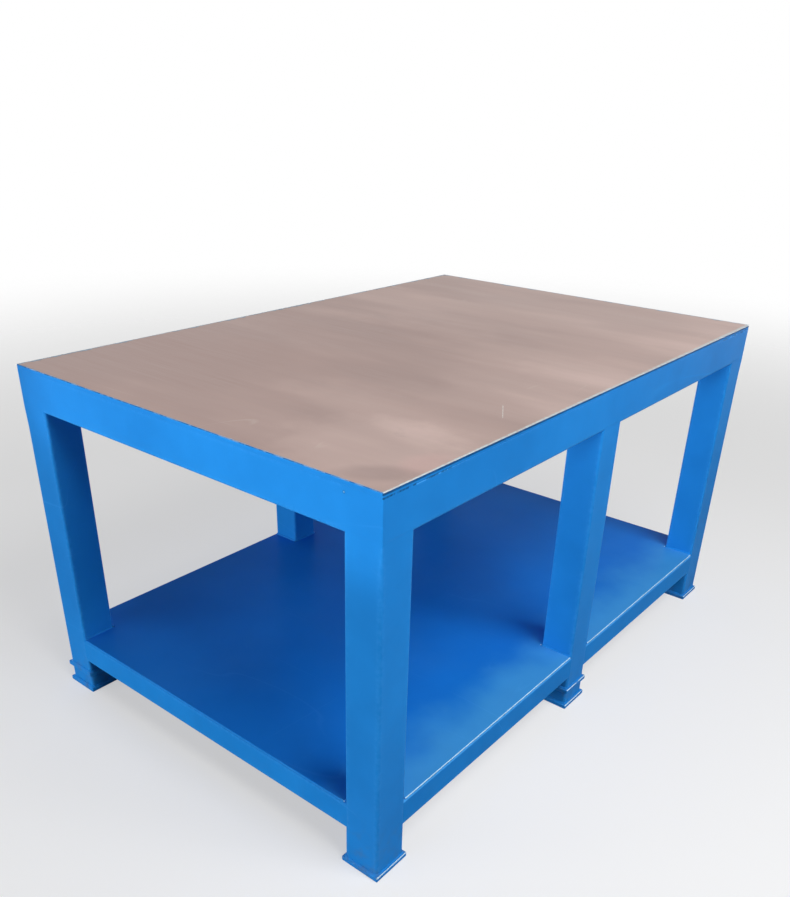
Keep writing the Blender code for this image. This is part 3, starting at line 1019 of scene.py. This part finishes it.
# Its colour and its own glow as the camera sees it, its colour as it lights the bench, and the sky's light
FLOOR_SEEN = (0.90, 0.90, 0.90, 1.0)
FLOOR_GLOW = 0.5
FLOOR_UNSEEN = (0.47, 0.47, 0.47, 1.0)
SKY_UNSEEN = 0.05

# Lamps: place, the point each looks at, its width and height, its spread in degrees, and its power in watts
LAMPS = {
    "window_left": ((-5.0, 0.5, 0.7), (-0.7, 0.0, 0.5), (2.0, 1.0), 180.0, 62.0),
    "window_back_left": ((-6.2, 3.5, 0.80), (-0.6, 0.0, 0.50), (3.0, 0.5), 180.0, 168.0),
    "strip_left": ((-2.2, -0.72, 0.75), (-0.75, -0.72, 0.75), (2.4, 0.22), 7.0, 0.66),
    "front_high": ((-0.45, -1.9, 3.0), (0.0, -0.3, 0.5), (2.4, 1.0), 180.0, 43.0),
    "front_middle": ((-0.4, -3.05, 2.3), (0.0, 0.0, 0.5), (2.4, 1.0), 180.0, 55.0),
    "back_high": ((0.5, 2.2, 3.2), (0.0, 0.3, 0.6), (2.4, 1.0), 180.0, 7.0),
    "back_level": ((0.0, 7.0, 0.52), (0.0, 0.5, 0.45), (3.0, 0.5), 180.0, 160.0),
    "right_level": ((7.0, 0.0, 0.52), (0.75, 0.0, 0.45), (3.0, 0.5), 180.0, 110.0),
}


def floor():
    """Pale disc that fades into the white surroundings; it is clear from below, so the bench shows."""
    angle = np.linspace(0.0, 2.0 * math.pi, FLOOR_SIDES, endpoint=False)
    rim = np.stack([FLOOR_RADIUS * np.cos(angle), FLOOR_RADIUS * np.sin(angle), angle * 0.0], -1)
    mesh = bpy.data.meshes.new("floor")
    mesh.from_pydata(rim.tolist(), [], [list(range(FLOOR_SIDES))])
    material = bpy.data.materials.new("pale_floor")
    material.use_nodes = True
    nodes = Nodes(material.node_tree)
    material.node_tree.nodes.remove(material.node_tree.nodes["Principled BSDF"])
    surface = material.node_tree.nodes["Material Output"].inputs["Surface"]
    seen = nodes.add("ShaderNodeLightPath", output="Is Camera Ray")
    colour = nodes.mix(seen, FLOOR_UNSEEN, FLOOR_SEEN)
    matt = nodes.add("ShaderNodeBsdfDiffuse", values={"Color": colour})
    glow = nodes.add("ShaderNodeEmission")
    matt = nodes.add("ShaderNodeMixShader", values={0: seen * FLOOR_GLOW, 1: matt, 2: glow})
    clear = nodes.add("ShaderNodeBsdfTransparent")
    away = nodes.add("ShaderNodeVectorMath", {"operation": "LENGTH"}, {0: nodes.place()}, "Value")
    below = nodes.add("ShaderNodeNewGeometry", output="Backfacing")
    gone = nodes.step(away, *FLOOR_FADE).most(below)
    nodes.feed(surface, nodes.add("ShaderNodeMixShader", values={0: gone, 1: matt, 2: clear}))
    mesh.materials.append(material)
    made = bpy.data.objects.new("floor", mesh)
    bpy.context.scene.collection.objects.link(made)


def surroundings():
    """White where the camera or a reflection sees them, and a softer level where they light the bench."""
    world = bpy.data.worlds.new("studio")
    world.use_nodes = True
    bpy.context.scene.world = world
    nodes = Nodes(world.node_tree)
    rays = nodes.add("ShaderNodeLightPath").socket.node.outputs
    seen = Wire(nodes, rays["Is Camera Ray"]).most(Wire(nodes, rays["Is Glossy Ray"]))
    seen = seen.most(Wire(nodes, rays["Is Transmission Ray"]))
    background = world.node_tree.nodes["Background"]
    background.inputs["Color"].default_value = (1.0, 1.0, 1.0, 1.0)
    nodes.feed(background.inputs["Strength"], seen * (1.0 - SKY_UNSEEN) + SKY_UNSEEN)


def lamps():
    """Lamps that light the bench and don't show in the picture themselves."""
    for name, (place, target, (width, height), spread, power) in LAMPS.items():
        light = bpy.data.lights.new(name, "AREA")
        light.shape, light.size, light.size_y, light.energy = "RECTANGLE", width, height, power
        light.spread = math.radians(spread)
        made = bpy.data.objects.new(name, light)
        made.visible_camera = False
        made.location = place
        made.rotation_euler = (Vector(target) - Vector(place)).to_track_quat("-Z", "Y").to_euler()
        bpy.context.scene.collection.objects.link(made)


bpy.context.scene.view_settings.view_transform = "Standard"
camera()
surroundings()
lamps()
floor()

# The blue coats: dust, edge wear, darkening near the floor, colour of the painted highlight on the upper
# front rims, and the seam beside the piece, whose dark line is painted shade
frame_enamel = blue_enamel("frame_enamel", 0.04, 0.00, 0.00, ENAMEL_THIN, "top")
leg_enamel = blue_enamel("leg_enamel", 0.04, 0.00, 0.25, ENAMEL_THIN)
rail_enamel = blue_enamel("rail_enamel", 0.04, 0.00, 0.15, ENAMEL_THIN, "shelf")
shelf_enamel = blue_enamel("shelf_enamel", 0.06, 0.04, 0.00, HIGHLIGHT_AND_NICK_BLUE, "shelf")
foot_enamel = blue_enamel("foot_enamel", 0.30, 0.07, 0.40, HIGHLIGHT_PALE)
weld_enamel = blue_enamel("weld_enamel", 0.04, 0.00, 0.35, ENAMEL_THIN)
plate_steel = ground_plate(BENCH_LOW, BENCH_HIGH)

worktop = plate("top_plate", TOP_PLATE_CORNER, TOP_PLATE_CHAMFER, lower=SEAM_FILLED)
piece("worktop", [worktop], plate_steel, ["top_plate"])
top_rails(frame_enamel)
legs(leg_enamel)
feet(leg_enamel, foot_enamel)
shelf_tubes(rail_enamel, leg_enamel)
shelf_sheet(shelf_enamel)
frame_welds(weld_enamel)
tube_welds(weld_enamel)
plate_welds(weld_enamel)
sheet_welds(weld_enamel)
foot_welds(weld_enamel)
